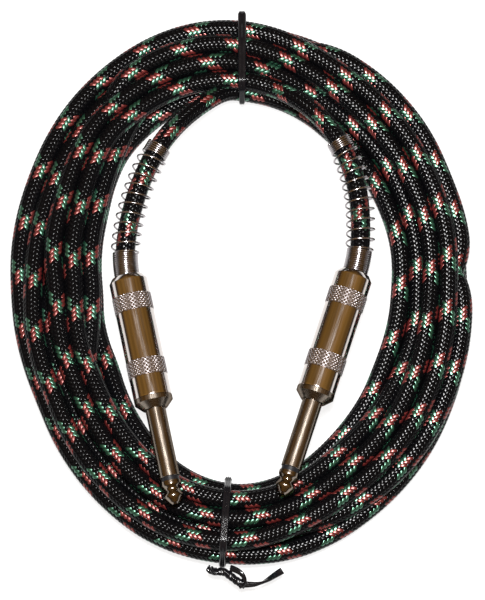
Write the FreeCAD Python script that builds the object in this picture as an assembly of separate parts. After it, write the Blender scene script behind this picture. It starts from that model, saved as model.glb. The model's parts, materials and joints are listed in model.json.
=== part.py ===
"""Instrument cable with two straight 6.35 mm mono plugs, coiled and held by two twist ties.

Units are millimetres. The coil lies flat on the XY plane, +Z is up and both plug tips point
towards -Y. The origin is at the middle of the plugs and ties, on the surface the coil lies on.
"""
import FreeCAD, Part
import math
import os

os.makedirs("parts", exist_ok=True)

V = FreeCAD.Vector

# ---------------------------------------------------------------- driving dimensions

CABLE_D = 6.2
CABLE_R = CABLE_D / 2
LAYERS = {  # outer diameter of each layer of the cable, from the outside in
    "braid": 6.2,
    "jacket": 5.4,
    "shield": 3.6,
    "insulation": 2.8,
    "conductor": 1.0,
}

# Plug lengths are distances along its axis from the front face of its collar, towards the cable.
SHAFT_D = 6.35
TIP_END = -31.0
RING_FRONT = -23.6
RING_BACK = -22.2
INSULATOR_RECESS = 0.3
COLLAR_CONE = 2.2
BODY_D = 12.1
COLLAR_BACK = 3.6
BOSS_D = 9.56
BOSS_BACK = 9.2
SPIGOT_D = 6.8
SPIGOT_FRONT = 8.2
SPIGOT_BACK = 10.4
ROD_D = 2.4
TUBE_D = 3.6
WASHER_BACK = 11.2
TERMINAL_BACK = 11.8
ROD_END = 12.4
BARREL_BACK = 43.4
BARREL_BORE_D = 9.7
KNURL_D = 12.4
KNURL_FRONTS = (10.4, 31.6)
KNURL_LENGTH = 5.2
REAR_HOLE_D = 8.7
REAR_WALL = 1.8
LINER_D = 8.9
LINER_FRONT = 10.8
LINER_BACK = 38.0
CABLE_ENTRY = 42.0

# Terminals and the stripped end of the cable, inside the barrel.
STRIP_THICKNESS = 0.6
STRIP_WIDTH = 3.4
STRIP_RING_D = 8.0
SPIGOT_CLEARANCE = 0.4
GRIP_FRONT = 25.0
GRIP_BACK = 31.0
GRIP_GAP = 3.0
GRIP_OVERLAP = 0.2
WASHER_D = 6.0
DISC_D = 5.0
TAB_LENGTH = 5.4
TAB_WIDTH = 2.0
TAB_THICKNESS = 0.5
TAB_HEIGHT = 2.4
STRIPPED_FRONTS = {"insulation": 21.0, "shield": 22.4, "jacket": 23.2, "braid": 24.2}
CORE_ROUTE = [(14.0, 0, 1.9), (16.4, 0, 1.9), (19.0, 0, 0), (CABLE_ENTRY, 0, 0)]
DRAIN_ROUTE = [(19.4, 0, -2.5), (21.4, 0, -2.5), (23.0, 0, -1.7)]
DRAIN_R = 0.6
TIP_JOINT = {"centre": V(15.4, 0, 1.75), "radius": 0.8}
GROUND_JOINT = {"centre": V(20.2, 0, -2.4), "radius": 0.9}

SPRING_WIRE_D = 0.6
SPRING_BASE_R = 4.2
SPRING_CLOSE_R = 3.75
SPRING_OPEN_R = 4.4
SPRING_WIDENING = 0.8
SPRING_BASE_TURNS = 2.5
SPRING_FRONT = 39.0
SPRING_NECK = 7.2
SPRING_OPEN_TURNS = 11
SPRING_OPEN_PITCH = 3.2
SPRING_END_TURNS = 5
POINTS_PER_TURN = 10

AXIS_HEIGHT = 23.5

# Where the centre of each collar's front face is, and how far its plug leans from the Y axis.
PLUGS = {
    "left": {"at": V(-27.0, -39.7, AXIS_HEIGHT), "lean": 11.8},
    "right": {"at": V(22.0, -37.3, AXIS_HEIGHT), "lean": -17.8},
}

# Route of each lead from its plug into the coil.
LEAD_ROUTES = {
    "left": [
        (-36.8, 7.3, 23.5),
        (-36.1, 17.3, 23.5),
        (-33.9, 27.1, 23.5),
        (-30.6, 36.6, 23.5),
        (-26.0, 45.6, 23.4),
        (-20.2, 53.4, 21.4),
        (-13.2, 60.4, 17.4),
        (-5.6, 66.4, 12.4),
    ],
    "right": [
        (36.7, 8.4, 23.5),
        (37.3, 18.4, 23.5),
        (36.8, 28.4, 23.5),
        (34.6, 38.1, 23.5),
        (30.6, 47.2, 23.5),
        (24.8, 55.2, 22.6),
        (17.6, 61.8, 19.8),
        (9.4, 67.0, 15.0),
    ],
}

# The coil: angle in degrees, inner radius, outer radius and height of the bundle there.
TURNS = 10
COIL_CENTRE = (0.0, 1.9)
COIL_SUNK = 1.2
COIL = [
    (0, 46.4, 73.2, 17.6),
    (30, 49.8, 76.0, 17.6),
    (60, 55.6, 85.4, 16.8),
    (76, 60.8, 88.9, 17.8),
    (90, 61.8, 88.3, 20.4),
    (104, 62.8, 89.3, 18.0),
    (128, 56.0, 83.8, 17.2),
    (152, 46.2, 77.0, 16.2),
    (180, 41.4, 72.9, 16.0),
    (208, 43.2, 73.4, 16.4),
    (232, 51.8, 80.4, 17.0),
    (252, 59.6, 87.0, 17.8),
    (266, 63.4, 88.4, 19.4),
    (280, 61.6, 88.2, 17.8),
    (304, 53.2, 84.6, 17.0),
    (332, 47.2, 78.4, 16.8),
]
TIE_ANGLES = {"top": 90, "bottom": 266}
SECTION_POINTS = 16

# Each tie's twisted ends lie against the outside of the coil: the knot, then its loose tail.
TIE_KNOTS = {
    "top": [(4.4, 87.9, 2.7), (0.2, 87.1, 2.9), (-4.4, 87.9, 2.7)],
    "bottom": [(-9.6, -88.0, 9.2), (-5.8, -88.4, 9.8), (-1.6, -90.4, 9.6), (2.8, -91.6, 8.8)],
}
TIE_TAILS = {
    "top": [(-3.9, 87.8, 2.7), (-7.0, 87.8, 2.4), (-9.6, 87.5, 1.8)],
    "bottom": [(2.0, -91.4, 9.0), (5.4, -91.8, 8.2), (8.8, -90.6, 7.4), (11.4, -88.0, 7.2)],
}
TIE_FIRST_CORNERS = {"top": 14, "bottom": 0}
TIE_WIDTH = 3.2
TIE_THICKNESS = 1.0
TIE_WIRE_D = 0.5
TAIL_D = 1.7
KNOT_D = 2.6


# ---------------------------------------------------------------- helpers


def save(name, shape):
    """Write one solid as its own node."""
    solids = shape.removeSplitter().Solids
    print(f"{name:30s} solids {len(solids)} valid {solids[0].isValid()} volume {solids[0].Volume:8.1f}")
    solids[0].exportStep(f"parts/{name}.step")


def turned(profile):
    """Solid of revolution about the X axis from a closed list of (distance, radius) corners."""
    corners = [V(x, r, 0) for x, r in profile]
    face = Part.Face(Part.makePolygon(corners + corners[:1]))
    return face.revolve(V(0, 0, 0), V(1, 0, 0), 360)


def ring(front, back, outer_d, inner_d):
    """Tube about the X axis."""
    outer = Part.makeCylinder(outer_d / 2, back - front, V(front, 0, 0), V(1, 0, 0))
    inner = Part.makeCylinder(inner_d / 2, back - front, V(front, 0, 0), V(1, 0, 0))
    return outer.cut(inner)


def rod(front, back, diameter):
    """Plain cylinder about the X axis."""
    return Part.makeCylinder(diameter / 2, back - front, V(front, 0, 0), V(1, 0, 0))


def rounded_route(points):
    """Straight runs joined by tangent arcs, as one wire. Also gives the smallest arc radius."""
    edges = []
    radii = []
    start = points[0]
    for before, corner, after in zip(points, points[1:], points[2:]):
        back = before - corner
        ahead = after - corner
        reach = 0.45 * min(back.Length, ahead.Length)
        turn = math.pi - back.getAngle(ahead)
        radius = reach / math.tan(turn / 2)
        radii.append(radius)
        back.normalize()
        ahead.normalize()
        arc_start = corner + back * reach
        arc_end = corner + ahead * reach
        middle = (back + ahead).normalize()
        sagitta = radius / math.cos(turn / 2) - radius
        edges.append(Part.LineSegment(start, arc_start).toShape())
        edges.append(Part.Arc(arc_start, corner + middle * sagitta, arc_end).toShape())
        start = arc_end
    edges.append(Part.LineSegment(start, points[-1]).toShape())
    return Part.Wire(edges), min(radii)


def tube(points, radius):
    """Round rod swept along a route of hand-chosen points."""
    wire, smallest = rounded_route(points)
    direction = points[1] - points[0]
    section = Part.Wire(Part.makeCircle(radius, points[0], direction))
    solid = wire.makePipeShell([section], True, True)
    drift = solid.Volume / (math.pi * radius**2 * wire.Length) - 1
    print(f"  tube length {wire.Length:7.1f} smallest bend {smallest:6.2f} volume off by {drift:+.2%}")
    return solid


def place_on(wire, distance):
    """Point and direction at a distance along a wire."""
    left = distance
    for edge in wire.OrderedEdges:
        if left <= edge.Length:
            break
        left -= edge.Length
    at = edge.getParameterByLength(min(left, edge.Length))
    direction = edge.tangentAt(at)
    return edge.valueAt(at), direction


# ---------------------------------------------------------------- plug pieces, about the X axis


def tip_contact():
    """Nickel tip with its collar, neck and bulb, and the rod that runs back through the shaft."""
    r = SHAFT_D / 2
    tip = turned(
        [
            (TIP_END, 0),
            (TIP_END, 0.9),
            (TIP_END + 0.4, 1.5),
            (TIP_END + 2.0, 2.75),
            (TIP_END + 2.6, 3.0),
            (TIP_END + 3.1, 2.9),
            (TIP_END + 4.4, 2.2),
            (TIP_END + 5.0, 2.2),
            (TIP_END + 6.1, r),
            (RING_FRONT, r),
            (RING_FRONT, ROD_D / 2),
            (ROD_END - 0.6, ROD_D / 2),
            (ROD_END - 0.6, 1.7),
            (ROD_END, 1.3),
            (ROD_END, 0),
        ]
    )
    return tip


def front_insulator():
    """Black ring between tip and shaft, with the tube that lines the shaft."""
    r = SHAFT_D / 2 - INSULATOR_RECESS
    return turned(
        [
            (RING_FRONT, ROD_D / 2),
            (RING_FRONT, r),
            (RING_BACK, r),
            (RING_BACK, TUBE_D / 2),
            (SPIGOT_BACK, TUBE_D / 2),
            (SPIGOT_BACK, ROD_D / 2),
        ]
    )


def sleeve_body():
    """Shaft, coned collar, the threaded boss the barrel screws on, and the terminal's spigot."""
    return turned(
        [
            (RING_BACK, TUBE_D / 2),
            (RING_BACK, SHAFT_D / 2),
            (0, SHAFT_D / 2),
            (0, BODY_D / 2 - 2.2),
            (COLLAR_CONE, BODY_D / 2),
            (COLLAR_BACK, BODY_D / 2),
            (COLLAR_BACK, BOSS_D / 2),
            (BOSS_BACK - 0.4, BOSS_D / 2),
            (BOSS_BACK, BOSS_D / 2 - 0.4),
            (BOSS_BACK, SPIGOT_D / 2),
            (SPIGOT_BACK, SPIGOT_D / 2),
            (SPIGOT_BACK, TUBE_D / 2),
        ]
    )


def ground_terminal():
    """Ring on the spigot, a strip along the side and two fingers that grip the cable."""
    outer_d = CABLE_D + 2 * STRIP_THICKNESS
    ring_back = BOSS_BACK + STRIP_THICKNESS
    strip_back = GRIP_FRONT + GRIP_OVERLAP
    side = V(BOSS_BACK, -STRIP_WIDTH / 2, -outer_d)
    sector = Part.makeBox(strip_back - BOSS_BACK, STRIP_WIDTH, outer_d, side)
    gap = Part.makeBox(GRIP_BACK - GRIP_FRONT, GRIP_GAP, CABLE_D, V(GRIP_FRONT, -GRIP_GAP / 2, 0))
    grip = ring(GRIP_FRONT, GRIP_BACK, outer_d, CABLE_D).cut(gap)
    collar = ring(BOSS_BACK, ring_back, STRIP_RING_D, SPIGOT_D)
    strip = ring(BOSS_BACK, strip_back, outer_d, CABLE_D).common(sector)
    bridge = ring(BOSS_BACK, ring_back, STRIP_RING_D, CABLE_D).common(sector)
    spigot = rod(SPIGOT_FRONT, SPIGOT_BACK + SPIGOT_CLEARANCE, SPIGOT_D)
    return grip.fuse([collar, bridge.cut(spigot), strip.cut(spigot)])


def insulating_washer():
    """Washer that keeps the tip terminal off the shaft's spigot."""
    return ring(SPIGOT_BACK, WASHER_BACK, WASHER_D, ROD_D)


def tip_terminal():
    """Disc under the peened rod, with a raised tab for the core wire."""
    disc = ring(WASHER_BACK, TERMINAL_BACK, DISC_D, ROD_D)
    side = -TAB_WIDTH / 2
    rise = TAB_HEIGHT + TAB_THICKNESS - TAB_WIDTH
    foot = Part.makeBox(TERMINAL_BACK - WASHER_BACK, TAB_WIDTH, rise, V(WASHER_BACK, side, TAB_WIDTH))
    tab = Part.makeBox(TAB_LENGTH, TAB_WIDTH, TAB_THICKNESS, V(WASHER_BACK, side, TAB_HEIGHT))
    return disc.fuse([foot, tab])


def conductor():
    """Core wire, straight in the cable and stepped up to the tip terminal's tab."""
    return tube([V(*point) for point in CORE_ROUTE], LAYERS["conductor"] / 2)


def cable_layer(outer, inner):
    """One stripped layer of the cable's end, from its own cut to the barrel's mouth."""
    return ring(STRIPPED_FRONTS[outer], CABLE_ENTRY, LAYERS[outer], LAYERS[inner])


def shield():
    """Woven copper shield, with its twisted tail led out to the ground strip."""
    wrap = cable_layer("shield", "insulation")
    tail = tube([V(*point) for point in DRAIN_ROUTE], DRAIN_R)
    return wrap.fuse(tail.cut(rod(TERMINAL_BACK, CABLE_ENTRY, LAYERS["insulation"])))


def solder(joint, *joined):
    """Solder joint: a bead round the pieces it joins."""
    bead = Part.makeSphere(joint["radius"], joint["centre"])
    for piece in joined:
        bead = bead.cut(piece)
    return max(bead.Solids, key=lambda solid: solid.Volume)


def liner():
    """Insulating sleeve inside the barrel."""
    return ring(LINER_FRONT, LINER_BACK, BARREL_BORE_D, LINER_D)


def barrel():
    """Screw-on barrel with two raised knurled bands and a stepped rear shoulder."""
    r = BODY_D / 2
    profile = [(COLLAR_BACK + 0.05, BARREL_BORE_D / 2), (COLLAR_BACK + 0.05, r - 0.2)]
    profile += [(COLLAR_BACK + 0.3, r)]
    for front in KNURL_FRONTS:
        back = front + KNURL_LENGTH
        knurl_r = KNURL_D / 2
        profile += [(front, r), (front + 0.3, knurl_r), (back - 0.3, knurl_r), (back, r)]
    profile += [
        (BARREL_BACK - 1.5, r),
        (BARREL_BACK - 0.2, r - 1.0),
        (BARREL_BACK, r - 1.2),
        (BARREL_BACK, REAR_HOLE_D / 2),
        (BARREL_BACK - REAR_WALL, REAR_HOLE_D / 2),
        (BARREL_BACK - REAR_WALL, BARREL_BORE_D / 2),
    ]
    return turned(profile)


# ---------------------------------------------------------------- placing the plugs


def plug_placement(side):
    """Turns the plug's X axis to point back along its cable and moves it to its place."""
    plug = PLUGS[side]
    return FreeCAD.Placement(plug["at"], FreeCAD.Rotation(V(0, 0, 1), 90 + plug["lean"]))


def placed(shape, side):
    copy = shape.copy()
    copy.Placement = plug_placement(side).multiply(copy.Placement)
    return copy


def lead_points(side):
    """Route of a lead: from inside the barrel, then the hand-chosen points."""
    start = plug_placement(side).multVec(V(CABLE_ENTRY, 0, 0))
    return [start] + [V(*point) for point in LEAD_ROUTES[side]]


def spring(side):
    """Bent strain relief: trapped base turns, close neck, open turns and close end turns."""
    base = plug_placement(side).multVec(V(SPRING_FRONT, 0, 0))
    wire, _ = rounded_route([base] + [V(*point) for point in LEAD_ROUTES[side]])
    close = SPRING_WIRE_D + 0.02
    open_length = SPRING_OPEN_TURNS * SPRING_OPEN_PITCH
    points = []
    angle = 0.0
    distance = SPRING_WIRE_D / 2
    neck_end = distance + BARREL_BACK - SPRING_FRONT + SPRING_NECK
    open_end = neck_end + open_length
    end = open_end + SPRING_END_TURNS * close
    while distance < end:
        widened = min(distance - neck_end, open_end - distance) / SPRING_WIDENING
        pitch = SPRING_OPEN_PITCH if widened >= 0 else close
        radius = SPRING_CLOSE_R + (SPRING_OPEN_R - SPRING_CLOSE_R) * min(max(widened, 0), 1)
        if angle < SPRING_BASE_TURNS * 2 * math.pi:
            radius = SPRING_BASE_R
        centre, ahead = place_on(wire, distance)
        sideways = V(0, 0, 1).cross(ahead).normalize()
        points.append(centre + sideways * radius * math.cos(angle) + V(0, 0, radius * math.sin(angle)))
        angle += 2 * math.pi / POINTS_PER_TURN
        distance += pitch / POINTS_PER_TURN
    return tube(points, SPRING_WIRE_D / 2)


# ---------------------------------------------------------------- coil and ties


def coil_section(station, grow=0.0):
    """Oval outline of the bundle at one station, standing across the run of the coil.

    It dips below the surface so that the coil can be cut flat, except where a tie passes under.
    """
    angle, inner, outer, top = station
    bottom = TIE_THICKNESS if angle in TIE_ANGLES.values() else -COIL_SUNK
    turn = math.radians(angle)
    outward = V(math.cos(turn), math.sin(turn), 0)
    half_width = (outer - inner) / 2 + grow
    half_height = (top - bottom) / 2 + grow
    centre = V(*COIL_CENTRE, (top + bottom) / 2) + outward * (inner + outer) / 2
    corners = []
    for step in range(SECTION_POINTS):
        around = 2 * math.pi * (step + 0.5) / SECTION_POINTS
        across = outward * half_width * math.cos(around)
        corners.append(centre + across + V(0, 0, half_height * math.sin(around)))
    return Part.makePolygon(corners + corners[:1])


def station_at(angle):
    return next(station for station in COIL if station[0] == angle)


def coil_length():
    """Length of cable in the coil: its turns, as long as the middle line of the bundle."""
    middles = []
    for angle, inner, outer, _ in COIL:
        turn = math.radians(angle)
        middles.append(V(math.cos(turn), math.sin(turn), 0) * (inner + outer) / 2)
    once_round = sum((after - before).Length for before, after in zip(middles, middles[1:] + middles[:1]))
    return TURNS * once_round


def coil_body():
    """Outer shape of the coiled turns, flat where it lies on the surface."""
    angles = [station[0] for station in COIL]
    top = angles.index(TIE_ANGLES["top"])
    bottom = angles.index(TIE_ANGLES["bottom"])
    sections = [coil_section(station) for station in COIL]
    left_half = Part.makeLoft(sections[top : bottom + 1], True)
    right_half = Part.makeLoft(sections[bottom:] + sections[: top + 1], True)
    floor_cut = Part.makeBox(220, 220, 10, V(-110, -110, -10))
    return left_half.fuse(right_half).cut(floor_cut)


def tie_slab(name, grow, width):
    """The bundle's outline at a tie, grown and made a short way long."""
    angle = TIE_ANGLES[name]
    along = V(-math.sin(math.radians(angle)), math.cos(math.radians(angle)), 0)
    outline = coil_section(station_at(angle), grow)
    outline.translate(along * (-width / 2))
    return Part.Face(outline).extrude(along * width)


def tie_band(name):
    """The part of a tie that lies round the bundle."""
    return tie_slab(name, TIE_THICKNESS, TIE_WIDTH).cut(tie_slab(name, 0, TIE_WIDTH + 0.2))


def tie_wire(name):
    """Steel wire of a twist tie: from the tail's end through the knot and round the bundle."""
    outline = coil_section(station_at(TIE_ANGLES[name]), TIE_THICKNESS / 2)
    corners = [vertex.Point for vertex in outline.OrderedVertexes]
    first = TIE_FIRST_CORNERS[name]
    loop = corners[first:] + corners[:first]
    knot = [V(*point) for point in TIE_KNOTS[name]]
    tail = [V(*point) for point in TIE_TAILS[name]]
    route = tail[:0:-1] + knot[-2:0:-1] + loop + knot[:1]
    return tube(route, TIE_WIRE_D / 2)


def tie_sleeve(name, wire):
    """Plastic ribbon round the wire: a band on the bundle, the twisted knot and a loose tail."""
    knot = tube([V(*point) for point in TIE_KNOTS[name]], KNOT_D / 2)
    tail = tube([V(*point) for point in TIE_TAILS[name]], TAIL_D / 2)
    return tie_band(name).fuse([knot, tail]).cut(wire)


# ---------------------------------------------------------------- writing the nodes


def save_plug(side):
    """Write the plug, its inner parts, the prepared cable end and the spring."""
    core = conductor()
    tab = tip_terminal()
    tip_joint = solder(TIP_JOINT, core, tab)
    strip = ground_terminal()
    drain = shield()
    ground_joint = solder(GROUND_JOINT, drain, strip)
    pieces = {
        "tip_contact": tip_contact(),
        "front_insulator": front_insulator(),
        "sleeve_body": sleeve_body(),
        "ground_terminal": strip,
        "insulating_washer": insulating_washer(),
        "tip_terminal": tab,
        "solder_tip": tip_joint,
        "solder_ground": ground_joint,
        "conductor": core,
        "core_insulation": cable_layer("insulation", "conductor"),
        "shield": drain,
        "inner_jacket": cable_layer("jacket", "shield"),
        "braid_end": cable_layer("braid", "jacket"),
        "liner": liner(),
        "barrel": barrel(),
    }
    for piece, shape in pieces.items():
        save(f"plug_{side}_{piece}", placed(shape, side))
    save(f"plug_{side}_spring", spring(side))


coil = coil_body()
for name in TIE_ANGLES:
    coil = coil.cut(tie_band(name))
save("cable_coil", coil)
print(f"cable in the coil {coil_length():.0f} mm")

for name in TIE_ANGLES:
    wire = tie_wire(name)
    save(f"tie_{name}_wire", wire)
    save(f"tie_{name}_sleeve", tie_sleeve(name, wire).cut(coil))

for side in PLUGS:
    save_plug(side)
    save(f"cable_lead_{side}", tube(lead_points(side), CABLE_R).cut(coil))
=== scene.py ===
"""Looks of the coiled instrument cable: woven cable, plugs, spring strain reliefs and twist ties.

Lengths are in metres unless a comment says mm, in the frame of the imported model: the coil lies on
the XY plane, +Z is up and the plug tips point towards -Y.
"""
import json
import math

import bpy
import numpy as np
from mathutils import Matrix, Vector

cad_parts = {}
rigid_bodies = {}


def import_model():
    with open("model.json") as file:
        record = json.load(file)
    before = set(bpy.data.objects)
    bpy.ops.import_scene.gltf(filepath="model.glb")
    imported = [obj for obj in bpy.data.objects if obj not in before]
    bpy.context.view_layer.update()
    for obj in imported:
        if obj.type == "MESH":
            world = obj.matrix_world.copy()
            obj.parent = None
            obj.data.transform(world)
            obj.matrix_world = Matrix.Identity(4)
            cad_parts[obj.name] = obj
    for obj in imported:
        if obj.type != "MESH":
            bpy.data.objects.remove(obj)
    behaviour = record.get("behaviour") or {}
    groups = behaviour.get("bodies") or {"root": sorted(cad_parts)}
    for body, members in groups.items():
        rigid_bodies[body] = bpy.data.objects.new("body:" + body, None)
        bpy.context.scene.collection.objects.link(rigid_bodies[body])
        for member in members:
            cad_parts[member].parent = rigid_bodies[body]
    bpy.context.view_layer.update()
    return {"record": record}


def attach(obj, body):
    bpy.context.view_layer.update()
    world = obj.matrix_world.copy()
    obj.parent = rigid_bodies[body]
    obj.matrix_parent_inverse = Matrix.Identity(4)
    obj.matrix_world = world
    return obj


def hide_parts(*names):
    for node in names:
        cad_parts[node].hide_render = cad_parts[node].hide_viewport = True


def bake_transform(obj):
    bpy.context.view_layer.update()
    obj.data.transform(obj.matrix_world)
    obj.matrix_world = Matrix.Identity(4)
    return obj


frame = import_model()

# ---------------------------------------------------------------- driving dimensions

MM = 0.001
CABLE_D = 6.2 * MM
CABLE_R = CABLE_D / 2

# The coil: angle in degrees, inner radius, outer radius and height of the bundle there, in mm.
TURNS = 10
STATIONS = 36
COIL_CENTRE = (0.0, 1.9)
COIL = [
    (0, 46.4, 73.2, 17.6),
    (30, 49.8, 76.0, 17.6),
    (60, 55.6, 85.4, 16.8),
    (76, 60.8, 88.9, 17.8),
    (90, 61.8, 88.3, 20.4),
    (104, 62.8, 89.3, 18.0),
    (128, 56.0, 83.8, 17.2),
    (152, 46.2, 77.0, 16.2),
    (180, 41.4, 72.9, 16.0),
    (208, 43.2, 73.4, 16.4),
    (232, 51.8, 80.4, 17.0),
    (252, 59.6, 87.0, 17.8),
    (266, 63.4, 88.4, 19.4),
    (280, 61.6, 88.2, 17.8),
    (304, 53.2, 84.6, 17.0),
    (332, 47.2, 78.4, 16.8),
]
TIE_ANGLES = {"top": 90, "bottom": 266}
OUTLINE_STEP = 2.0  # degrees
OUTLINE_SMOOTHING = 3  # steps to each side
TIE_LIFT = 1.1  # how much a tie lifts the bundle off the floor, in mm
TIE_LIFT_REACH = 14  # degrees
TIE_GRIP_REACH = 26  # degrees
BUNDLE_POWER = 3  # 2 would make the bundle's section an ellipse and more makes it squarer

# Settling of the coil: each round eases its points home, down, into line and apart, in mm.
SETTLING_ROUNDS = 700
HOMING = (0.05, 0.01)  # share of the way home, in the first and second half
SINKING = 0.02
STRAIGHTENING = 0.3
PUSHES = 3
PUSH_SHARE = 0.8
LEAST_GAP = 0.01
FAR = 1000  # out of reach of every strand

# How far the cable wanders from its place between the ties: mm, stations per radian, start.
WANDER_ACROSS = [(3.2, 8.3, 0.7), (2.2, 4.7, 2.1)]
WANDER_UP = [(2.6, 6.1, 1.3)]
WANDER_SPREAD = 0.12

# Where the cable lies in the bundle each time it passes the top tie: offset from the bundle's
# middle line and height, in mm. The first is where it comes in and the last where it leaves.
TIE_SLOTS = [
    (-10.0, 10.4),
    (-9.0, 4.6),
    (-3.0, 4.2),
    (3.2, 4.2),
    (9.4, 4.8),
    (9.8, 11.0),
    (3.6, 9.8),
    (-3.4, 9.8),
    (6.2, 15.4),
    (0.2, 15.6),
    (-6.0, 15.0),
]

# Route of each lead from its plug into the coil.
LEAD_ROUTES = {
    "left": [
        (-0.03559, 0.00141, 0.0235),
        (-0.0368, 0.0073, 0.0235),
        (-0.0361, 0.0173, 0.0235),
        (-0.0339, 0.0271, 0.0235),
        (-0.0306, 0.0366, 0.0235),
        (-0.0260, 0.0456, 0.0234),
        (-0.0202, 0.0534, 0.0214),
        (-0.0132, 0.0604, 0.0174),
        (-0.0056, 0.0664, 0.0124),
    ],
    "right": [
        (0.03484, 0.00269, 0.0235),
        (0.0367, 0.0084, 0.0235),
        (0.0373, 0.0184, 0.0235),
        (0.0368, 0.0284, 0.0235),
        (0.0346, 0.0381, 0.0235),
        (0.0306, 0.0472, 0.0235),
        (0.0248, 0.0552, 0.0226),
        (0.0176, 0.0618, 0.0198),
        (0.0094, 0.0670, 0.0150),
    ],
}

# Where the centre of each collar's front face is, and how far its plug leans from the Y axis.
PLUGS = {
    "left": {"at": (-0.0270, -0.0397, 0.0235), "lean": 11.8},
    "right": {"at": (0.0220, -0.0373, 0.0235), "lean": -17.8},
}

LATHE_SIDES = 72
SHARP_ANGLE = math.radians(28)

# Tip, shaft and boss: distances along the plug's axis from the collar's front face, in mm.
TIP_OUTLINE = [
    (-31.0, 0.9),
    (-30.6, 1.5),
    (-29.0, 2.75),
    (-28.4, 3.0),
    (-27.9, 2.9),
    (-26.6, 2.2),
    (-26.0, 2.2),
    (-24.9, 3.175),
    (-23.6, 3.175),
]
TIP_STEP = 0.1
TIP_ROUNDING = 7  # steps that each corner of the tip is smoothed over
SHAFT_R = 3.175
RING_BACK = -22.2
ROD_R = 1.2
ROD_END = 12.4
RIVET_R = 1.7
TUBE_R = 1.8
COLLAR_FRONT_R = 3.85
COLLAR_CONE = 2.2
COLLAR_BACK = 3.6
BOSS_R = 4.78
BOSS_BACK = 9.2
SPIGOT_R = 3.4
SPIGOT_BACK = 10.4
THREAD_PITCH = 0.8
THREAD_DEPTH = 0.28

# Barrel and spring: distances along the plug's axis from the collar's front face, in mm.
BARREL_FRONT = 3.65
BARREL_BACK = 43.4
BARREL_R = 6.05
BORE_R = 4.85
REAR_HOLE_R = 4.35
REAR_WALL = 1.8
KNURL_R = 6.2
KNURL_DEPTH = 0.3
KNURL_FRONTS = (10.4, 31.6)
KNURL_LENGTH = 5.2
KNURL_ROWS = 4
KNURL_COUNT = 30
KNURL_SAMPLES = 6
SPRING_FRONT = 39.0
SPRING_WIRE_R = 0.3
SPRING_BASE_R = 4.2
SPRING_CLOSE_R = 3.75
SPRING_OPEN_R = 4.4
SPRING_BASE_TURNS = 2.5
SPRING_CLOSE_PITCH = 0.64
SPRING_NECK = 7.2
SPRING_OPEN_TURNS = 11
SPRING_OPEN_PITCH = 3.2
SPRING_END_TURNS = 5
SPRING_STEPS_PER_TURN = 24
SPRING_EASE_TURNS = 0.6  # turns over which the spring opens and closes
SPRING_AHEAD = 2.9  # how far the spring's front lies ahead of the lead
SPRING_LINE_STEP = 0.4
SPRING_LINE_LENGTH = 80

# Twist ties, in mm: a flat ribbon with three ridges, its ends twisted together outside the bundle.
RIBBON_WIDTH = 2.6
RIBBON_BACK = 0.25
RIBBON_FRONT = 0.5
RIBBON_RIDGE = 0.16
RIBBON_GAP = 0.3  # from the cable's surface to the middle of the ribbon
RIBBON_LOWEST = 0.35
TWIST_WIDTH = 2.2
TWIST_RADIUS = 0.55
TWIST_PITCH = 6.0
TIE_WIRE_R = 0.2
LOOP_STEP = 0.35
TWIST_STEP = 0.2
TAIL_STEP = 0.25
TAIL_START_TURN = 0.6  # radians
LOOP_DIRECTIONS = 720
LOOP_ROUNDINGS = 4
STRAND_WINDOW = 20  # degrees to each side of a tie where its strands are looked for
COIL_LEAST_R = 55  # what passes a tie nearer the coil's middle than this belongs to a lead
TIE_SLACK = {  # how far a loop stands off the bundle, in mm, round a direction in degrees
    "top": [(2.4, 22, 24), (0.7, 165, 20)],
    "bottom": [(0.8, 10, 30), (1.2, 165, 22)],
}
TIE_SQUEEZE = 0.4  # how much narrower a ribbon is where it turns down the sides of the bundle
TIE_TWISTS = {
    "top": [(4.6, 87.9, 2.7), (2.4, 87.4, 3.0), (0.2, 87.3, 3.2), (-2.2, 87.5, 3.0), (-4.4, 87.9, 2.7)],
    "bottom": [
        (-10.4, -87.2, 8.4),
        (-8.6, -88.6, 9.6),
        (-5.8, -88.4, 10.2),
        (-3.4, -90.0, 9.8),
        (-1.2, -91.8, 9.4),
        (1.0, -92.6, 8.8),
    ],
}
TIE_TAILS = {
    "top": [(-4.2, 87.9, 2.7), (-6.2, 88.0, 2.5), (-8.2, 87.8, 2.1), (-9.8, 87.3, 1.8)],
    "bottom": [
        (0.4, -92.4, 8.8),
        (3.4, -92.4, 8.4),
        (6.6, -91.4, 7.8),
        (9.6, -89.6, 7.4),
        (12.6, -87.6, 7.2),
    ],
}
TIE_LOOPS = {
    "bottom": [
        (-3.6, -87.6, 10.8),
        (-1.0, -88.6, 11.6),
        (0.8, -90.4, 11.2),
        (0.9, -92.2, 9.8),
        (-0.6, -92.9, 8.6),
    ]
}

# The braid: a dozen yarns each way, two over and two under.
YARNS_EACH_WAY = 12
TRACERS_EACH_WAY = 3
LAY = 17.3 * MM
BRAID_MIDDLE_R = 2.74 * MM
BRAID_SWING = 0.19 * MM
YARN_WIDTH = {"over": 1.10 * MM, "under": 0.84 * MM}
YARN_HALF_THICKNESS = 0.21 * MM
YARN_FLATNESS = 2.2  # how level a yarn runs between its crossings
YARN_SECTION = [(-1, 0), (-0.8, 0.55), (-0.4, 0.75), (0.4, 0.75), (0.8, 0.55), (1, 0), (0, -0.9)]
CORE_R = 2.5 * MM
YARN_STEP = LAY / 36

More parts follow.
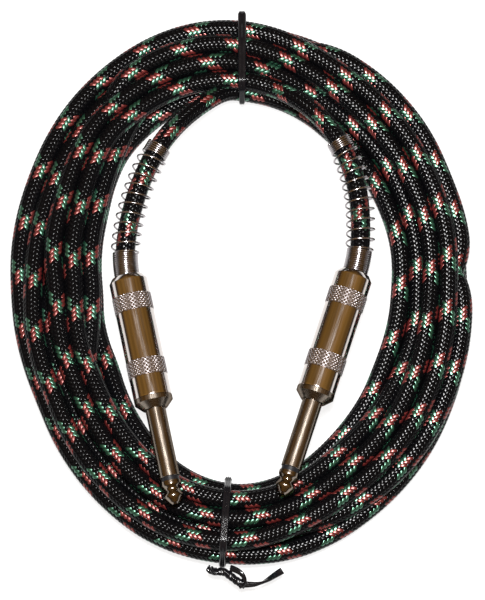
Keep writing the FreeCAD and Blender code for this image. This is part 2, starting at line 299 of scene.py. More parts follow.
# Stage, lights and camera.
NOISE_SPAN = (0.3, 0.7)  # nearly all of a grain's noise lies in here
FLOOR_SIZE = 6
FLOOR_GREY = 0.12
FLOOR_FADE = (0.2, 0.6)  # distances from the middle where the floor's glow starts and stops fading
FLOOR_GLOW = (0.85, 0.1)
ROOM_COLOURS = [(0.05, (0.03, 0.02, 0.015, 1)), (0.5, (0.30, 0.155, 0.034, 1))]  # height, colour
ROOM_PATCHES = (0.35, 0.65)  # values of the room's noise that give the least and most light
ROOM_STRENGTH = (0.65, 1.2)
CAMERA_TARGET = (0.16, 1.25, 0)  # mm
CAMERA_DISTANCE = 2.5
CAMERA_ELEVATION = 76
CAMERA_LENS = 475
SENSOR_WIDTH = 36


# ---------------------------------------------------------------- meshes


def build_mesh(name, sweeps, closed=False):
    """Object made of sweeps, each an array of rings of points. Closed sweeps join end to start."""
    points, corners, starts = [], [], []
    first_point = 0
    first_corner = 0
    for rings in sweeps:
        count, around, _ = rings.shape
        index = first_point + np.arange(count * around).reshape(count, around)
        turned = np.roll(index, -1, axis=1)
        if closed:
            ahead, turned_ahead = np.roll(index, -1, axis=0), np.roll(turned, -1, axis=0)
            quads = np.stack([index, turned, turned_ahead, ahead], axis=-1).reshape(-1, 4)
            caps = []
        else:
            quads = np.stack([index[:-1], turned[:-1], turned[1:], index[1:]], axis=-1).reshape(-1, 4)
            caps = [index[0][::-1], index[-1]]
        corners += [quads.ravel(), *caps]
        cap_starts = first_corner + 4 * len(quads) + around * np.arange(len(caps))
        starts += [first_corner + 4 * np.arange(len(quads)), cap_starts]
        first_corner += 4 * len(quads) + around * len(caps)
        first_point += count * around
        points.append(rings.reshape(-1, 3))
    points, corners, starts = np.concatenate(points), np.concatenate(corners), np.concatenate(starts)
    mesh = bpy.data.meshes.new(name)
    mesh.vertices.add(len(points))
    mesh.vertices.foreach_set("co", points.ravel())
    mesh.loops.add(len(corners))
    mesh.loops.foreach_set("vertex_index", corners.astype(np.int32))
    mesh.polygons.add(len(starts))
    mesh.polygons.foreach_set("loop_start", starts.astype(np.int32))
    mesh.update(calc_edges=True)
    mesh.shade_smooth()
    made = bpy.data.objects.new(name, mesh)
    bpy.context.scene.collection.objects.link(made)
    return made


def directions_along(points):
    """Unit direction at each point of a line."""
    ahead = np.gradient(points, axis=0)
    return ahead / np.linalg.norm(ahead, axis=1, keepdims=True)


def carried_frames(points, first_side=(0, 0, 1)):
    """Two directions across a line at each point, carried along it without twist."""
    ahead = directions_along(points)
    sides = np.empty_like(points)
    side = np.array(first_side, float)
    for i, direction in enumerate(ahead):
        side = side - direction * (side @ direction)
        side /= np.linalg.norm(side)
        sides[i] = side
    return ahead, sides, np.cross(ahead, sides)


def evenly(points, step):
    """The same line with points an even distance apart."""
    lengths = np.linalg.norm(np.diff(points, axis=0), axis=1)
    along = np.concatenate([[0], np.cumsum(lengths)])
    count = max(2, int(round(along[-1] / step)) + 1)
    at = np.linspace(0, along[-1], count)
    even = np.stack([np.interp(at, along, points[:, axis]) for axis in range(3)], axis=1)
    return even, at


def smooth_line(points, name, per_segment=12):
    """Points of the smooth curve that has the given points as its control points."""
    curve = nurbs_curve(name, points)
    curve.data.resolution_u = per_segment
    mesh = bpy.data.meshes.new_from_object(curve)
    line = np.array([vertex.co for vertex in mesh.vertices])
    bpy.data.objects.remove(curve)
    bpy.data.meshes.remove(mesh)
    return line


def nurbs_curve(name, points):
    """Curve object with one smooth open spline."""
    data = bpy.data.curves.new(name, "CURVE")
    data.dimensions = "3D"
    spline = data.splines.new("NURBS")
    spline.points.add(len(points) - 1)
    for target, point in zip(spline.points, points):
        target.co = (*point, 1)
    spline.order_u = 3
    spline.use_endpoint_u = True
    made = bpy.data.objects.new(name, data)
    bpy.context.scene.collection.objects.link(made)
    return made


def round_sweep(line, radius, around):
    """Rings of a round rod along a line."""
    _, side, up = carried_frames(line)
    turn = np.linspace(0, 2 * np.pi, around, endpoint=False)[None, :, None]
    return line[:, None] + radius * (side[:, None] * np.cos(turn) + up[:, None] * np.sin(turn))


# ---------------------------------------------------------------- materials


def new_material(name, colour, metallic, roughness, **inputs):
    """Material with a plain colour, ready for its grain."""
    material = bpy.data.materials.new(name)
    material.use_nodes = True
    shader = material.node_tree.nodes["Principled BSDF"]
    shader.inputs["Base Color"].default_value = (*colour, 1)
    shader.inputs["Metallic"].default_value = metallic
    shader.inputs["Roughness"].default_value = roughness
    for label, value in inputs.items():
        shader.inputs[label.replace("_", " ")].default_value = value
    return material, material.node_tree.nodes, material.node_tree.links, shader


def stretched_coordinates(nodes, links, turn_z, stretch):
    """Object coordinates turned about Z and stretched along each axis."""
    coordinates = nodes.new("ShaderNodeTexCoord")
    turned = nodes.new("ShaderNodeMapping")
    turned.inputs["Rotation"].default_value = (0, 0, turn_z)
    scaled = nodes.new("ShaderNodeMapping")
    scaled.inputs["Scale"].default_value = stretch
    links.new(coordinates.outputs["Object"], turned.inputs["Vector"])
    links.new(turned.outputs["Vector"], scaled.inputs["Vector"])
    return scaled.outputs["Vector"]


def map_range(nodes, before, after):
    """Node that maps one span of values onto another."""
    node = nodes.new("ShaderNodeMapRange")
    for end, (least, most) in (("From", before), ("To", after)):
        node.inputs[f"{end} Min"].default_value = least
        node.inputs[f"{end} Max"].default_value = most
    return node


def add_grain(name, colour, metallic, rough, grain, relief, turn_z=0.0, stretch=(1, 1, 1), **inputs):
    """Material whose roughness and fine relief follow one noise with grains of a given size."""
    material, nodes, links, shader = new_material(name, colour, metallic, rough[0], **inputs)
    vector = stretched_coordinates(nodes, links, turn_z, stretch)
    noise = nodes.new("ShaderNodeTexNoise")
    noise.inputs["Scale"].default_value = 1 / grain
    noise.inputs["Detail"].default_value = 4
    links.new(vector, noise.inputs["Vector"])
    span = map_range(nodes, NOISE_SPAN, rough)
    links.new(noise.outputs["Fac"], span.inputs["Value"])
    links.new(span.outputs["Result"], shader.inputs["Roughness"])
    bump = nodes.new("ShaderNodeBump")
    bump.inputs["Strength"].default_value = 0.6
    bump.inputs["Distance"].default_value = relief
    links.new(noise.outputs["Fac"], bump.inputs["Height"])
    links.new(bump.outputs["Normal"], shader.inputs["Normal"])
    return material


def give(target, material):
    """Put one material on every slot of an object."""
    if not target.material_slots:
        target.data.materials.append(material)
    for slot in target.material_slots:
        slot.material = material


def yarn_material(name, colour, rough, refraction, tint):
    """Glossy yarn with a fine fibre grain and highlights of its own tint."""
    gloss = {"IOR": refraction, "Specular_Tint": (*tint, 1)}
    return add_grain(name, colour, 0, rough, 0.25 * MM, 0.02 * MM, **gloss)


YARN_MATERIALS = {
    "black": yarn_material("yarn_black", (0.0012, 0.0012, 0.0015), (0.17, 0.27), 1.2, (1.0, 1.0, 1.0)),
    "green": yarn_material("yarn_green", (0.002, 0.013, 0.007), (0.3, 0.42), 2.1, (0.5, 1.0, 0.74)),
    "red": yarn_material("yarn_red", (0.04, 0.004, 0.004), (0.3, 0.42), 2.05, (1.0, 0.43, 0.4)),
}
CORE_MATERIAL = add_grain("cable_core", (0.002, 0.002, 0.0023), 0, (0.5, 0.7), 0.4 * MM, 0.02 * MM)
TIE_MATERIAL = add_grain(
    "tie_plastic", (0.003, 0.003, 0.004), 0, (0.12, 0.22), 1.2 * MM, 0.01 * MM, Specular_IOR_Level=0.3
)
WIRE_MATERIAL = add_grain("tie_wire", (0.5, 0.5, 0.5), 1, (0.3, 0.45), 0.3 * MM, 0.01 * MM)
NICKEL = (0.58, 0.54, 0.52)
# The knurl's colour is the barrel's nickel darkened: painted shade for the dark look of its facets and
# grooves.
SHADED_KNURL_NICKEL = (0.42, 0.39, 0.40)
# The tip's and shaft's nickel, darkened and browned: painted shade and painted brown reflection in place of
# the dark room and cable round them.
SHADED_NICKEL = (0.22, 0.19, 0.16)
SPRING_MATERIAL = add_grain("spring_steel", (0.34, 0.32, 0.33), 1, (0.14, 0.26), 0.4 * MM, 0.008 * MM)


# Each finish on a plug: colour, how metallic, span of roughness, size of grain and depth of relief in mm.
# The tip's, shaft's and knurl's colours are nickel darkened with painted shade.
PLUG_FINISHES_AND_SHADE = {
    "nickel_tip": (SHADED_NICKEL, 1, (0.1, 0.24), 0.9, 0.01),
    "nickel_shaft": (SHADED_NICKEL, 1, (0.16, 0.3), 0.8, 0.02),
    "nickel_barrel": (NICKEL, 1, (0.07, 0.16), 0.9, 0.006),
    "nickel_knurl": (SHADED_KNURL_NICKEL, 1, (0.2, 0.3), 0.3, 0.01),
    "black_plastic": ((0.006, 0.006, 0.007), 0, (0.3, 0.5), 0.4, 0.02),
    "liner_plastic": ((0.05, 0.05, 0.055), 0, (0.35, 0.55), 0.6, 0.02),
    "fibre_washer": ((0.22, 0.10, 0.045), 0, (0.6, 0.8), 0.3, 0.03),
    "tinned_brass": ((0.72, 0.68, 0.55), 1, (0.2, 0.4), 0.6, 0.02),
    "solder": ((0.62, 0.62, 0.64), 1, (0.25, 0.5), 0.5, 0.04),
    "copper": ((0.78, 0.36, 0.2), 1, (0.2, 0.4), 0.3, 0.03),
    "natural_plastic": ((0.72, 0.71, 0.67), 0, (0.3, 0.5), 0.6, 0.01),
    "black_rubber": ((0.02, 0.02, 0.021), 0, (0.5, 0.7), 0.4, 0.03),
    "braid": ((0.012, 0.012, 0.013), 0, (0.35, 0.6), 0.3, 0.05),
}


def plug_materials(side):
    """Materials of one plug, some with marks that run round or along the plug's axis."""
    turn_z = -math.radians(90 + PLUGS[side]["lean"])
    round_marks = {"turn_z": turn_z, "stretch": (6, 0.5, 0.5)}
    long_marks = {"turn_z": turn_z, "stretch": (0.12, 3, 3)}
    # Dark rim tint on the tip and shaft: painted shade on their edges in place of dark reflections there.
    shaded_rim = {"Specular_Tint": (0.25, 0.24, 0.24, 1)}
    special = {
        "nickel_tip": {**round_marks, **shaded_rim},
        "nickel_shaft": {**long_marks, **shaded_rim},
        "nickel_barrel": long_marks,
        "black_plastic": {"Specular_IOR_Level": 0.15},
    }
    return {
        slot: add_grain(
            f"{slot}_{side}", colour, metallic, rough, grain * MM, relief * MM, **special.get(slot, {})
        )
        for slot, (colour, metallic, rough, grain, relief) in PLUG_FINISHES_AND_SHADE.items()
    }


# ---------------------------------------------------------------- the coil


def outline_at(angles):
    """Middle line, half width, bottom and top of the bundle in mm at each angle in degrees."""
    table = np.array(COIL, float)
    fine = np.arange(0, 360, OUTLINE_STEP)
    width = OUTLINE_SMOOTHING
    kernel = np.hanning(2 * width + 3)[1:-1]
    kernel /= kernel.sum()
    smooth = []
    for column in (1, 2, 3):
        values = np.interp(fine, table[:, 0], table[:, column], period=360)
        padded = np.concatenate([values[-width:], values, values[:width]])
        smooth.append(np.convolve(padded, kernel, "valid"))
    inner, outer, top = (np.interp(angles, fine, values, period=360) for values in smooth)
    bottom = sum(TIE_LIFT * near_tie(angles, tie, TIE_LIFT_REACH) for tie in TIE_ANGLES.values())
    return (inner + outer) / 2, (outer - inner) / 2, bottom, top


def near_tie(angles, tie, reach):
    """1 at a tie, fading to 0 over the reach in degrees."""
    away = (np.asarray(angles) - tie + 180) % 360 - 180
    return np.exp(-((away / reach) ** 2))


def lead_crossings(side, angles):
    """Offset and height in mm of a lead where it passes over each angle, and which angles it misses."""
    points = np.array(LEAD_ROUTES[side]) / MM - np.array([*COIL_CENTRE, 0])
    turn = np.degrees(np.arctan2(points[:, 1], points[:, 0]))
    radius = np.hypot(points[:, 0], points[:, 1])
    order = np.argsort(turn)
    offset = np.interp(angles, turn[order], radius[order]) - outline_at(angles)[0]
    height = np.interp(angles, turn[order], points[order, 2])
    missed = (angles < turn.min()) | (angles > turn.max())
    return np.stack([offset, height], axis=-1), missed


def wander(step, waves):
    """Sum of slow waves along the coil, in mm."""
    return sum(size * np.sin(step / length + start) for size, length, start in waves)


def home_places(step, angles):
    """Where each point of the coil belongs in mm: its slot at the ties, wandering between them."""
    slots = np.array(TIE_SLOTS)
    home = np.stack([np.interp(step / STATIONS, np.arange(TURNS + 1), column) for column in slots.T], axis=1)
    loose = np.prod([1 - near_tie(angles, tie, TIE_GRIP_REACH) for tie in TIE_ANGLES.values()], axis=0)
    home[:, 0] *= 1 + WANDER_SPREAD * loose
    home[:, 0] += loose * wander(step, WANDER_ACROSS)
    home[:, 1] += loose * wander(step, WANDER_UP)
    return home


def passing_leads():
    """Each lead's place at every station of a turn, out of reach where it doesn't pass."""
    angles = (90 - np.arange(STATIONS) * 360 / STATIONS) % 360
    leads = []
    for number, side in enumerate(LEAD_ROUTES):
        place, missed = lead_crossings(side, angles)
        place[missed] = -FAR * (5 + number)
        place[0] = -FAR * (7 + number)  # the coil's own ends lie there
        leads.append(place)
    return leads


def push_apart(rows, strand_d):
    """How far each strand is pushed off the ones that it overlaps at its own station."""
    apart = rows[:, None] - rows[None]
    distance = np.linalg.norm(apart, axis=-1)
    distance[np.arange(len(rows)), np.arange(len(rows))] = FAR
    overlap = np.clip(strand_d - distance, 0, None)
    return (apart / np.maximum(distance, LEAST_GAP)[..., None] * (overlap / 2)[..., None]).sum(axis=1)


def settle_coil():
    """Offset and height in mm of every point of the coil, with its turns pressed together."""
    count = TURNS * STATIONS + 1
    step = np.arange(count)
    angles = 90 - step * 360 / STATIONS
    middle, half_width, bottom, top = outline_at(angles)
    strand_d = CABLE_D / MM
    strand_r = strand_d / 2
    reach = np.stack([half_width - strand_r, (top - bottom) / 2 - strand_r], axis=1)
    centre_z = (top + bottom) / 2

    # One row for each turn and one column for each station. The last row is nearly empty.
    grid = FAR * (5 + np.arange((TURNS + 1) * STATIONS)[:, None]) * np.ones(2)
    home = home_places(step, angles)
    grid[:count] = home
    strand = grid[:count]
    leads = passing_leads()
    before = lead_crossings("left", np.array([90.0 + 360 / STATIONS]))[0][0]
    after = lead_crossings("right", np.array([90.0 - 360 / STATIONS]))[0][0]
    for turn in range(SETTLING_ROUNDS):
        strand += HOMING[turn >= SETTLING_ROUNDS / 2] * (home - strand)
        strand[:, 1] -= SINKING
        line = np.concatenate([[before], strand, [after]])
        strand += STRAIGHTENING * ((line[:-2] + line[2:]) / 2 - strand)
        for _ in range(PUSHES):
            rows = np.concatenate([grid.reshape(TURNS + 1, STATIONS, 2), leads])
            grid += PUSH_SHARE * push_apart(rows, strand_d)[: TURNS + 1].reshape(-1, 2)
            away = np.stack([strand[:, 0], strand[:, 1] - centre_z], axis=1) / reach
            size = (np.abs(away) ** BUNDLE_POWER).sum(axis=1) ** (1 / BUNDLE_POWER)
            inside = away / np.maximum(size, 1)[:, None] * reach
            strand[:, 0] = inside[:, 0]
            strand[:, 1] = np.maximum(inside[:, 1] + centre_z, bottom + strand_r)
    return angles, middle + strand[:, 0], strand[:, 1]


def coil_points():
    """Points of the coil's turns, clockwise seen from above, from the top tie to the top tie."""
    angles, radius, height = settle_coil()
    turn = np.radians(angles)
    x = COIL_CENTRE[0] + radius * np.cos(turn)
    y = COIL_CENTRE[1] + radius * np.sin(turn)
    return np.stack([x, y, height], axis=1) * MM


# ---------------------------------------------------------------- the cable


def make_cable():
    """The whole cable as one curve, from the left plug through the coil to the right plug."""
    points = [*LEAD_ROUTES["left"], *coil_points(), *reversed(LEAD_ROUTES["right"])]
    line, _ = evenly(smooth_line(points, "cable_line"), YARN_STEP)
    core = nurbs_curve("cable", points)
    core.data.bevel_depth = CORE_R
    core.data.bevel_resolution = 3
    core.data.resolution_u = 8
    core.data.use_fill_caps = True
    give(core, CORE_MATERIAL)
    return core, line


def yarn_sweep(line, frames, along, family, number):
    """Rings of one yarn. Family 1 leans one way round the cable and -1 the other."""
    ahead, side, up = frames
    turn = family * 2 * np.pi * along / LAY + 2 * np.pi * number / YARNS_EACH_WAY
    crossing = YARNS_EACH_WAY * turn / np.pi
    wave = np.cos(2 * np.pi * (crossing - 0.5) / 4)
    over = family * np.tanh(YARN_FLATNESS * wave) / np.tanh(YARN_FLATNESS)
    outward = side * np.cos(turn)[:, None] + up * np.sin(turn)[:, None]
    round_way = up * np.cos(turn)[:, None] - side * np.sin(turn)[:, None]
    radius = BRAID_MIDDLE_R + BRAID_SWING * over
    slope = family * 2 * np.pi * BRAID_MIDDLE_R / LAY
    across = round_way - ahead * slope
    across /= np.linalg.norm(across, axis=1, keepdims=True)
    width = YARN_WIDTH["under"] + (YARN_WIDTH["over"] - YARN_WIDTH["under"]) * (over + 1) / 2
    centre = line + outward * radius[:, None]
    rings = [
        centre - across * (width / 2 * x)[:, None] + outward * (YARN_HALF_THICKNESS * y)
        for x, y in YARN_SECTION
    ]
    return np.stack(rings, axis=1)


def make_braid(line):
    """The woven cover: green tracer yarns in one family, red ones in the other, the rest black."""
    frames = carried_frames(line)
    along = YARN_STEP * np.arange(len(line))
    pieces = []
    for family, tracer in ((1, "red"), (-1, "green")):
        for number in range(YARNS_EACH_WAY):
            colour = tracer if number < TRACERS_EACH_WAY else "black"
            piece = build_mesh(
                f"yarn_{colour}_{'right' if family > 0 else 'left'}_{number}",
                [yarn_sweep(line, frames, along, family, number)],
            )
            give(piece, YARN_MATERIALS[colour])
            pieces.append(piece)
    return pieces


cable, cable_line = make_cable()
yarns = make_braid(cable_line)
for piece in [cable, *yarns]:
    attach(piece, "cable")
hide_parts("cable_coil", "cable_lead_left", "cable_lead_right")


# ---------------------------------------------------------------- the plugs


def plug_directions(side):
    """Directions back along a plug and to its side; the third is straight up."""
    lean = math.radians(PLUGS[side]["lean"])
    back = np.array([-math.sin(lean), math.cos(lean), 0])
    up = np.array([0.0, 0.0, 1.0])
    return back, np.cross(up, back), up


def on_plug(side, distance):
    """Point on a plug's axis, at a distance in mm back from its collar's front face."""
    return np.array(PLUGS[side]["at"]) + plug_directions(side)[0] * distance * MM


def turned_rings(side, distances, radii):
    """Rings about a plug's axis. Radii hold one row per distance and one column per direction."""
    back, beside, up = plug_directions(side)
    turn = np.linspace(0, 2 * np.pi, radii.shape[1], endpoint=False)
    outward = beside * np.cos(turn)[:, None] + up * np.sin(turn)[:, None]
    centres = np.array(PLUGS[side]["at"]) + np.outer(distances, back) * MM
    return centres[:, None] + outward[None] * radii[:, :, None] * MM


def lathe(name, side, profile, closed, sides=LATHE_SIDES):
    """Turned piece from pairs of distance and radius in mm. A radius may also change round the axis."""
    distances = np.array([distance for distance, _ in profile])
    radii = np.array([radius * np.ones(sides) for _, radius in profile])
    piece = build_mesh(name, [turned_rings(side, distances, radii)], closed)
    piece.data.set_sharp_from_angle(angle=SHARP_ANGLE)
    return piece


def make_tip(side):
    """Tip contact with rounded bulb and collar, and the riveted rod behind it."""
    outline = np.array(TIP_OUTLINE)
    at = np.linspace(outline[0, 0], outline[-1, 0], round(np.ptp(outline[:, 0]) / TIP_STEP) + 1)
    padded = np.pad(np.interp(at, *outline.T), TIP_ROUNDING // 2, mode="edge")
    rounded = np.convolve(padded, np.ones(TIP_ROUNDING) / TIP_ROUNDING, "valid")
    rod = [(at[-1], ROD_R), (ROD_END - 0.6, ROD_R), (ROD_END - 0.6, RIVET_R), (ROD_END, RIVET_R - 0.4)]
    return lathe(f"tip_{side}", side, [*zip(at, rounded), *rod], closed=False)


def make_sleeve(side):
    """Shaft, coned collar, threaded boss and spigot, hollow for the rod and its tube."""
    turn = np.linspace(0, 1, LATHE_SIDES, endpoint=False)
    front = [
        (RING_BACK, TUBE_R),
        (RING_BACK, SHAFT_R - 0.1),
        (RING_BACK + 0.1, SHAFT_R),
        (RING_BACK + 0.4, SHAFT_R),
        (-0.3, SHAFT_R),
        (0, SHAFT_R),
        (0, COLLAR_FRONT_R),
        (COLLAR_CONE, BARREL_R),
        (COLLAR_BACK, BARREL_R),
        (COLLAR_BACK, BOSS_R - THREAD_DEPTH),
    ]
    thread = []
    for distance in np.arange(COLLAR_BACK + 0.6, BOSS_BACK - 0.4, THREAD_PITCH / 8):
        groove = np.abs(2 * ((distance / THREAD_PITCH - turn) % 1) - 1)
        thread.append((distance, BOSS_R - THREAD_DEPTH * groove))
    back = [
        (BOSS_BACK - 0.3, BOSS_R - THREAD_DEPTH),
        (BOSS_BACK, BOSS_R - 0.4),
        (BOSS_BACK, SPIGOT_R),
        (SPIGOT_BACK, SPIGOT_R),
        (SPIGOT_BACK, TUBE_R),
    ]
    return lathe(f"sleeve_{side}", side, [*front, *thread, *back], closed=True)


def knurl_relief(row, turn):
    """0 in the crossed grooves and 1 on the diamonds between them."""
    around = turn * KNURL_COUNT / (2 * np.pi)
    return np.abs(np.sin(np.pi * (row + around)) * np.sin(np.pi * (row - around)))


def make_barrel(side, smooth_metal, knurled_metal):
    """Screw-on barrel with diamond knurling, a chamfered shoulder and its bore."""
    sides = KNURL_COUNT * KNURL_SAMPLES
    turn = np.linspace(0, 2 * np.pi, sides, endpoint=False)
    rows = KNURL_ROWS * KNURL_SAMPLES
    profile = [
        (BARREL_FRONT, BORE_R),
        (BARREL_FRONT, BARREL_R - 0.2),
        (BARREL_FRONT + 0.12, BARREL_R - 0.05),
        (BARREL_FRONT + 0.3, BARREL_R),
        (BARREL_FRONT + 0.6, BARREL_R),
    ]
    for front in KNURL_FRONTS:
        back = front + KNURL_LENGTH
        profile += [(front - 0.35, BARREL_R), (front - 0.1, BARREL_R), (front, KNURL_R - KNURL_DEPTH)]
        for row in range(rows + 1):
            relief = KNURL_DEPTH * (knurl_relief(row / KNURL_SAMPLES, turn) - 0.9)
            profile.append((front + KNURL_LENGTH * row / rows, KNURL_R + relief))
        profile += [(back, KNURL_R - KNURL_DEPTH), (back + 0.1, BARREL_R), (back + 0.35, BARREL_R)]
    profile += [
        (BARREL_BACK - 1.9, BARREL_R),
        (BARREL_BACK - 1.6, BARREL_R),
        (BARREL_BACK - 1.5, BARREL_R - 0.04),
        (BARREL_BACK - 0.2, BARREL_R - 1.0),
        (BARREL_BACK - 0.04, BARREL_R - 1.12),
        (BARREL_BACK, BARREL_R - 1.25),
        (BARREL_BACK, REAR_HOLE_R),
        (BARREL_BACK - REAR_WALL, REAR_HOLE_R),
        (BARREL_BACK - REAR_WALL, BORE_R),
    ]
    barrel = lathe(f"barrel_{side}", side, profile, closed=True, sides=sides)
    barrel.data.materials.append(smooth_metal)
    barrel.data.materials.append(knurled_metal)
    knurled = np.array([np.ndim(radius) for _, radius in profile], np.int32)
    barrel.data.polygons.foreach_set("material_index", np.repeat(knurled, sides))
    return barrel


def spring_path(side):
    """Line of the spring's wire: trapped base turns, close neck, open turns and close end turns."""
    lead = cable_line if side == "left" else cable_line[::-1]
    inside = [on_plug(side, SPRING_FRONT + step) for step in np.arange(0, SPRING_AHEAD, SPRING_LINE_STEP)]
    lead = lead[: int(SPRING_LINE_LENGTH * MM / YARN_STEP)]
    axis, along = evenly(np.concatenate([inside, lead]), SPRING_LINE_STEP * MM)
    _, beside, up = carried_frames(axis, plug_directions(side)[1])
    neck = BARREL_BACK - SPRING_FRONT + SPRING_NECK
    neck_turns = neck / SPRING_CLOSE_PITCH
    turns = np.arange(0, neck_turns + SPRING_OPEN_TURNS + SPRING_END_TURNS, 1 / SPRING_STEPS_PER_TURN)
    opening = np.clip((turns - neck_turns) / SPRING_EASE_TURNS, 0, 1)
    closing = np.clip((neck_turns + SPRING_OPEN_TURNS - turns) / SPRING_EASE_TURNS, 0, 1)
    open_share = np.minimum(opening, closing)
    pitch = SPRING_CLOSE_PITCH + (SPRING_OPEN_PITCH - SPRING_CLOSE_PITCH) * open_share
    distance = (SPRING_WIRE_R + np.cumsum(pitch) / SPRING_STEPS_PER_TURN) * MM
    base = np.clip(SPRING_BASE_TURNS - turns, 0, 1)
    radius = SPRING_CLOSE_R + (SPRING_OPEN_R - SPRING_CLOSE_R) * open_share
    radius = (radius + (SPRING_BASE_R - SPRING_CLOSE_R) * base) * MM
    at = {
        name: np.stack([np.interp(distance, along, values[:, i]) for i in range(3)], axis=1)
        for name, values in (("axis", axis), ("beside", beside), ("up", up))
    }
    angle = 2 * np.pi * turns
    line = at["axis"] + radius[:, None] * (
        at["beside"] * np.cos(angle)[:, None] + at["up"] * np.sin(angle)[:, None]
    )
    neck_end = at["axis"][np.searchsorted(turns, neck_turns)]
    open_end = at["axis"][np.searchsorted(turns, neck_turns + SPRING_OPEN_TURNS)]
    return line, neck_end, open_end


def make_spring(side):
    """Spring strain relief as one round wire."""
    line, neck_end, open_end = spring_path(side)
    spring = build_mesh(f"spring_{side}", [round_sweep(line, SPRING_WIRE_R * MM, around=10)])
    return spring, neck_end, open_end


for side in PLUGS:
    materials = plug_materials(side)
    for row in frame["record"]["subparts"]:
        if row["node"].startswith(f"plug_{side}_") and row["material_slot"] in materials:
            give(bpy.data.objects[row["node"]], materials[row["material_slot"]])
    barrel = make_barrel(side, materials["nickel_barrel"], materials["nickel_knurl"])
    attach(barrel, f"plug_{side}_barrel_turn")
    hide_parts(f"plug_{side}_barrel")
    for turned, node, slot in (
        (make_tip(side), "tip_contact", "nickel_tip"),
        (make_sleeve(side), "sleeve_body", "nickel_shaft"),
    ):
        give(turned, materials[slot])
        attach(turned, "cable")
        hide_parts(f"plug_{side}_{node}")
    spring, neck_end, open_end = make_spring(side)
    give(spring, SPRING_MATERIAL)
    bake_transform(spring)
    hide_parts(f"plug_{side}_spring")


# ---------------------------------------------------------------- the twist ties


def strands_at(angle):
    """Where the cable passes the upright half plane at an angle: radius and height in metres."""
    x, y = cable_line[:, 0] - COIL_CENTRE[0] * MM, cable_line[:, 1] - COIL_CENTRE[1] * MM
    away = (np.degrees(np.arctan2(y, x)) - angle + 180) % 360 - 180
    near = np.abs(away) < STRAND_WINDOW
    crossed = near[:-1] & near[1:] & (np.sign(away[:-1]) != np.sign(away[1:]))
    places = np.stack([np.hypot(x, y), cable_line[:, 2]], axis=1)[:-1][crossed]
    return places[places[:, 0] > COIL_LEAST_R * MM]


def ribbon_section(width):
    """Outline of a flat ribbon in mm, across and outward, with three lengthwise ridges on its front."""
    across = np.linspace(1, -1, 19)
    rounding = np.sqrt(np.clip(1 - np.abs(across) ** 3, 0, 1))
    ridges = RIBBON_FRONT + RIBBON_RIDGE * np.cos(3 * np.pi * across)
    front = np.stack([across * width / 2, ridges * rounding], axis=1)
    back = np.array([(x * width / 2, -RIBBON_BACK) for x in (-0.96, -0.5, 0, 0.5, 0.96)])
    return np.concatenate([front, back]) * MM


def swept_section(line, across, outward, section):
    """Rings of an outline carried along a line."""
    return line[:, None] + across[:, None] * section[None, :, :1] + outward[:, None] * section[None, :, 1:]


def tie_loop(name):
    """Rings of the ribbon round the bundle, drawn tight over the strands that it meets."""
    angle = TIE_ANGLES[name]
    strands = strands_at(angle)
    turn = np.linspace(0, 2 * np.pi, LOOP_DIRECTIONS, endpoint=False)
    facing = np.stack([np.cos(turn), np.sin(turn)], axis=1)
    touched = strands[np.argmax(strands @ facing.T, axis=0)]
    slack = np.zeros_like(turn)
    for size, towards, reach in TIE_SLACK[name]:
        away = (np.degrees(turn) - towards + 180) % 360 - 180
        slack += size * MM * np.exp(-((away / reach) ** 2))
    hull = touched + facing * (CABLE_R + RIBBON_GAP * MM + slack)[:, None]
    hull[:, 1] = np.maximum(hull[:, 1], RIBBON_LOWEST * MM)
    flat = np.stack([hull[:, 0], hull[:, 1], np.zeros(len(hull))], axis=1)
    flat, _ = evenly(np.concatenate([flat, flat[:1]]), LOOP_STEP * MM)
    flat = flat[:-1]
    for _ in range(LOOP_ROUNDINGS):
        flat = (np.roll(flat, 1, axis=0) + 2 * flat + np.roll(flat, -1, axis=0)) / 4
    ahead = np.roll(flat, -1, axis=0) - np.roll(flat, 1, axis=0)
    ahead /= np.linalg.norm(ahead, axis=1, keepdims=True)
    radial = np.array([math.cos(math.radians(angle)), math.sin(math.radians(angle)), 0])
    up = np.array([0.0, 0.0, 1.0])
    centre = np.array([*COIL_CENTRE, 0]) * MM
    line = centre + flat[:, :1] * radial + flat[:, 1:2] * up
    outward = ahead[:, 1:2] * radial - ahead[:, :1] * up
    squeezed = 1 - TIE_SQUEEZE * ahead[:, 1:2] ** 4
    across = np.cross(radial, up) * squeezed
    return line, swept_section(line, across, outward, ribbon_section(RIBBON_WIDTH))


def twisted_pair(points):
    """Rings of two ribbons twisted round each other along a smooth route, and their middle lines."""
    route, along = evenly(smooth_line(np.array(points) * MM, "twist_line"), TWIST_STEP * MM)
    ahead, beside, up = carried_frames(route)
    sweeps, middles = [], []
    for start in (0, np.pi):
        turn = (start + 2 * np.pi * along / (TWIST_PITCH * MM))[:, None]
        outward = beside * np.cos(turn) + up * np.sin(turn)
        middle = route + outward * TWIST_RADIUS * MM
        sweeps.append(swept_section(middle, np.cross(outward, ahead), outward, ribbon_section(TWIST_WIDTH)))
        middles.append(middle)
    return sweeps, middles


def single_ribbon(points, turns):
    """Rings of one loose ribbon along a smooth route, and its middle line."""
    route, along = evenly(smooth_line(np.array(points) * MM, "tail_line"), TAIL_STEP * MM)
    ahead, beside, up = carried_frames(route)
    turn = (TAIL_START_TURN + turns * 2 * np.pi * along / along[-1])[:, None]
    outward = beside * np.cos(turn) + up * np.sin(turn)
    return swept_section(route, np.cross(outward, ahead), outward, ribbon_section(TWIST_WIDTH)), route


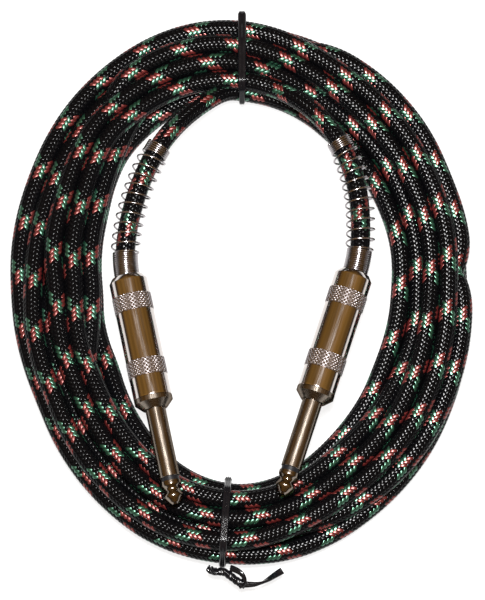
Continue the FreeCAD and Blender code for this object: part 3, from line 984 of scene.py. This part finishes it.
def make_tie(name):
    """One twist tie: its ribbon, and the steel wire that runs inside it."""
    loop_line, loop = tie_loop(name)
    twists, middles = twisted_pair(TIE_TWISTS[name])
    tail, tail_line = single_ribbon(TIE_TAILS[name], turns=0.4)
    loose = [tail]
    lines = [loop_line[:-2], *middles, tail_line]
    if name in TIE_LOOPS:
        bow, bow_line = single_ribbon(TIE_LOOPS[name], turns=0.2)
        loose.append(bow)
        lines.append(bow_line)
    closed = build_mesh(f"tie_{name}_loop", [loop], closed=True)
    ends = build_mesh(f"tie_{name}_ends", [*twists, *loose])
    wires = build_mesh(
        f"tie_{name}_wires", [round_sweep(line, TIE_WIRE_R * MM, around=8) for line in lines]
    )
    give(closed, TIE_MATERIAL)
    give(ends, TIE_MATERIAL)
    give(wires, WIRE_MATERIAL)
    for piece, node, slot in (
        (closed, "sleeve", "tie_plastic"),
        (ends, "sleeve", "tie_plastic"),
        (wires, "wire", "tie_wire"),
    ):
        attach(piece, "cable")
        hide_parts(f"tie_{name}_{node}")


for name in TIE_ANGLES:
    make_tie(name)


# ---------------------------------------------------------------- stage, lights and camera


def make_floor():
    """Plain white floor with a faint grain, lit from below and fading to grey far from the coil."""
    bpy.ops.mesh.primitive_plane_add(size=FLOOR_SIZE)
    floor = bpy.context.object
    floor.name = "floor"
    material = add_grain("floor_white", (FLOOR_GREY,) * 3, 0, (0.75, 0.9), 2 * MM, 0.01 * MM)
    nodes, links = material.node_tree.nodes, material.node_tree.links
    shader = nodes["Principled BSDF"]
    shader.inputs["Emission Color"].default_value = (1, 1, 1, 1)
    coordinates = nodes.new("ShaderNodeTexCoord")
    distance = nodes.new("ShaderNodeVectorMath")
    distance.operation = "LENGTH"
    fade = map_range(nodes, FLOOR_FADE, FLOOR_GLOW)
    links.new(coordinates.outputs["Object"], distance.inputs[0])
    links.new(distance.outputs["Value"], fade.inputs["Value"])
    links.new(fade.outputs["Result"], shader.inputs["Emission Strength"])
    give(floor, material)


def stand(thing, target, azimuth, elevation, distance):
    """Put a light or camera at a distance from a target, facing it."""
    turn, rise = math.radians(azimuth), math.radians(elevation)
    back = Vector((math.sin(turn) * math.cos(rise), -math.cos(turn) * math.cos(rise), math.sin(rise)))
    thing.location = Vector(target) + back * distance
    thing.rotation_mode = "QUATERNION"
    thing.rotation_quaternion = back.to_track_quat("Z", "Y")
    bpy.context.scene.collection.objects.link(thing)


def add_light(name, azimuth, elevation, distance, size, power):
    """Square soft white light that faces the coil."""
    data = bpy.data.lights.new(name, "AREA")
    data.size = size
    data.energy = power
    stand(bpy.data.objects.new(name, data), (0, 0, 0), azimuth, elevation, distance)


def add_camera():
    """Camera nearly overhead, tilted a little towards the plug tips."""
    data = bpy.data.cameras.new("camera")
    data.sensor_width = SENSOR_WIDTH
    data.lens = CAMERA_LENS
    data.clip_start = 0.05
    camera = bpy.data.objects.new("camera", data)
    stand(camera, Vector(CAMERA_TARGET) * MM, 0, CAMERA_ELEVATION, CAMERA_DISTANCE)
    bpy.context.scene.camera = camera


def set_world():
    """Dim warm room with soft patches, darker towards the horizon."""
    world = bpy.data.worlds.new("room")
    world.use_nodes = True
    nodes, links = world.node_tree.nodes, world.node_tree.links
    background = nodes["Background"]
    coordinates = nodes.new("ShaderNodeTexCoord")
    split = nodes.new("ShaderNodeSeparateXYZ")
    ramp = nodes.new("ShaderNodeValToRGB")
    for element, (position, colour) in zip(ramp.color_ramp.elements, ROOM_COLOURS):
        element.position = position
        element.color = colour
    patches = nodes.new("ShaderNodeTexNoise")
    patches.inputs["Scale"].default_value = 3
    patches.inputs["Detail"].default_value = 2
    strength = map_range(nodes, ROOM_PATCHES, ROOM_STRENGTH)
    links.new(coordinates.outputs["Generated"], split.inputs["Vector"])
    links.new(coordinates.outputs["Generated"], patches.inputs["Vector"])
    links.new(split.outputs["Z"], ramp.inputs["Fac"])
    links.new(ramp.outputs["Color"], background.inputs["Color"])
    links.new(patches.outputs["Fac"], strength.inputs["Value"])
    links.new(strength.outputs["Result"], background.inputs["Strength"])
    bpy.context.scene.world = world


make_floor()
set_world()
add_light("key", azimuth=0, elevation=84, distance=1.2, size=0.2, power=46)
add_camera()
bpy.context.scene.view_settings.view_transform = "Standard"
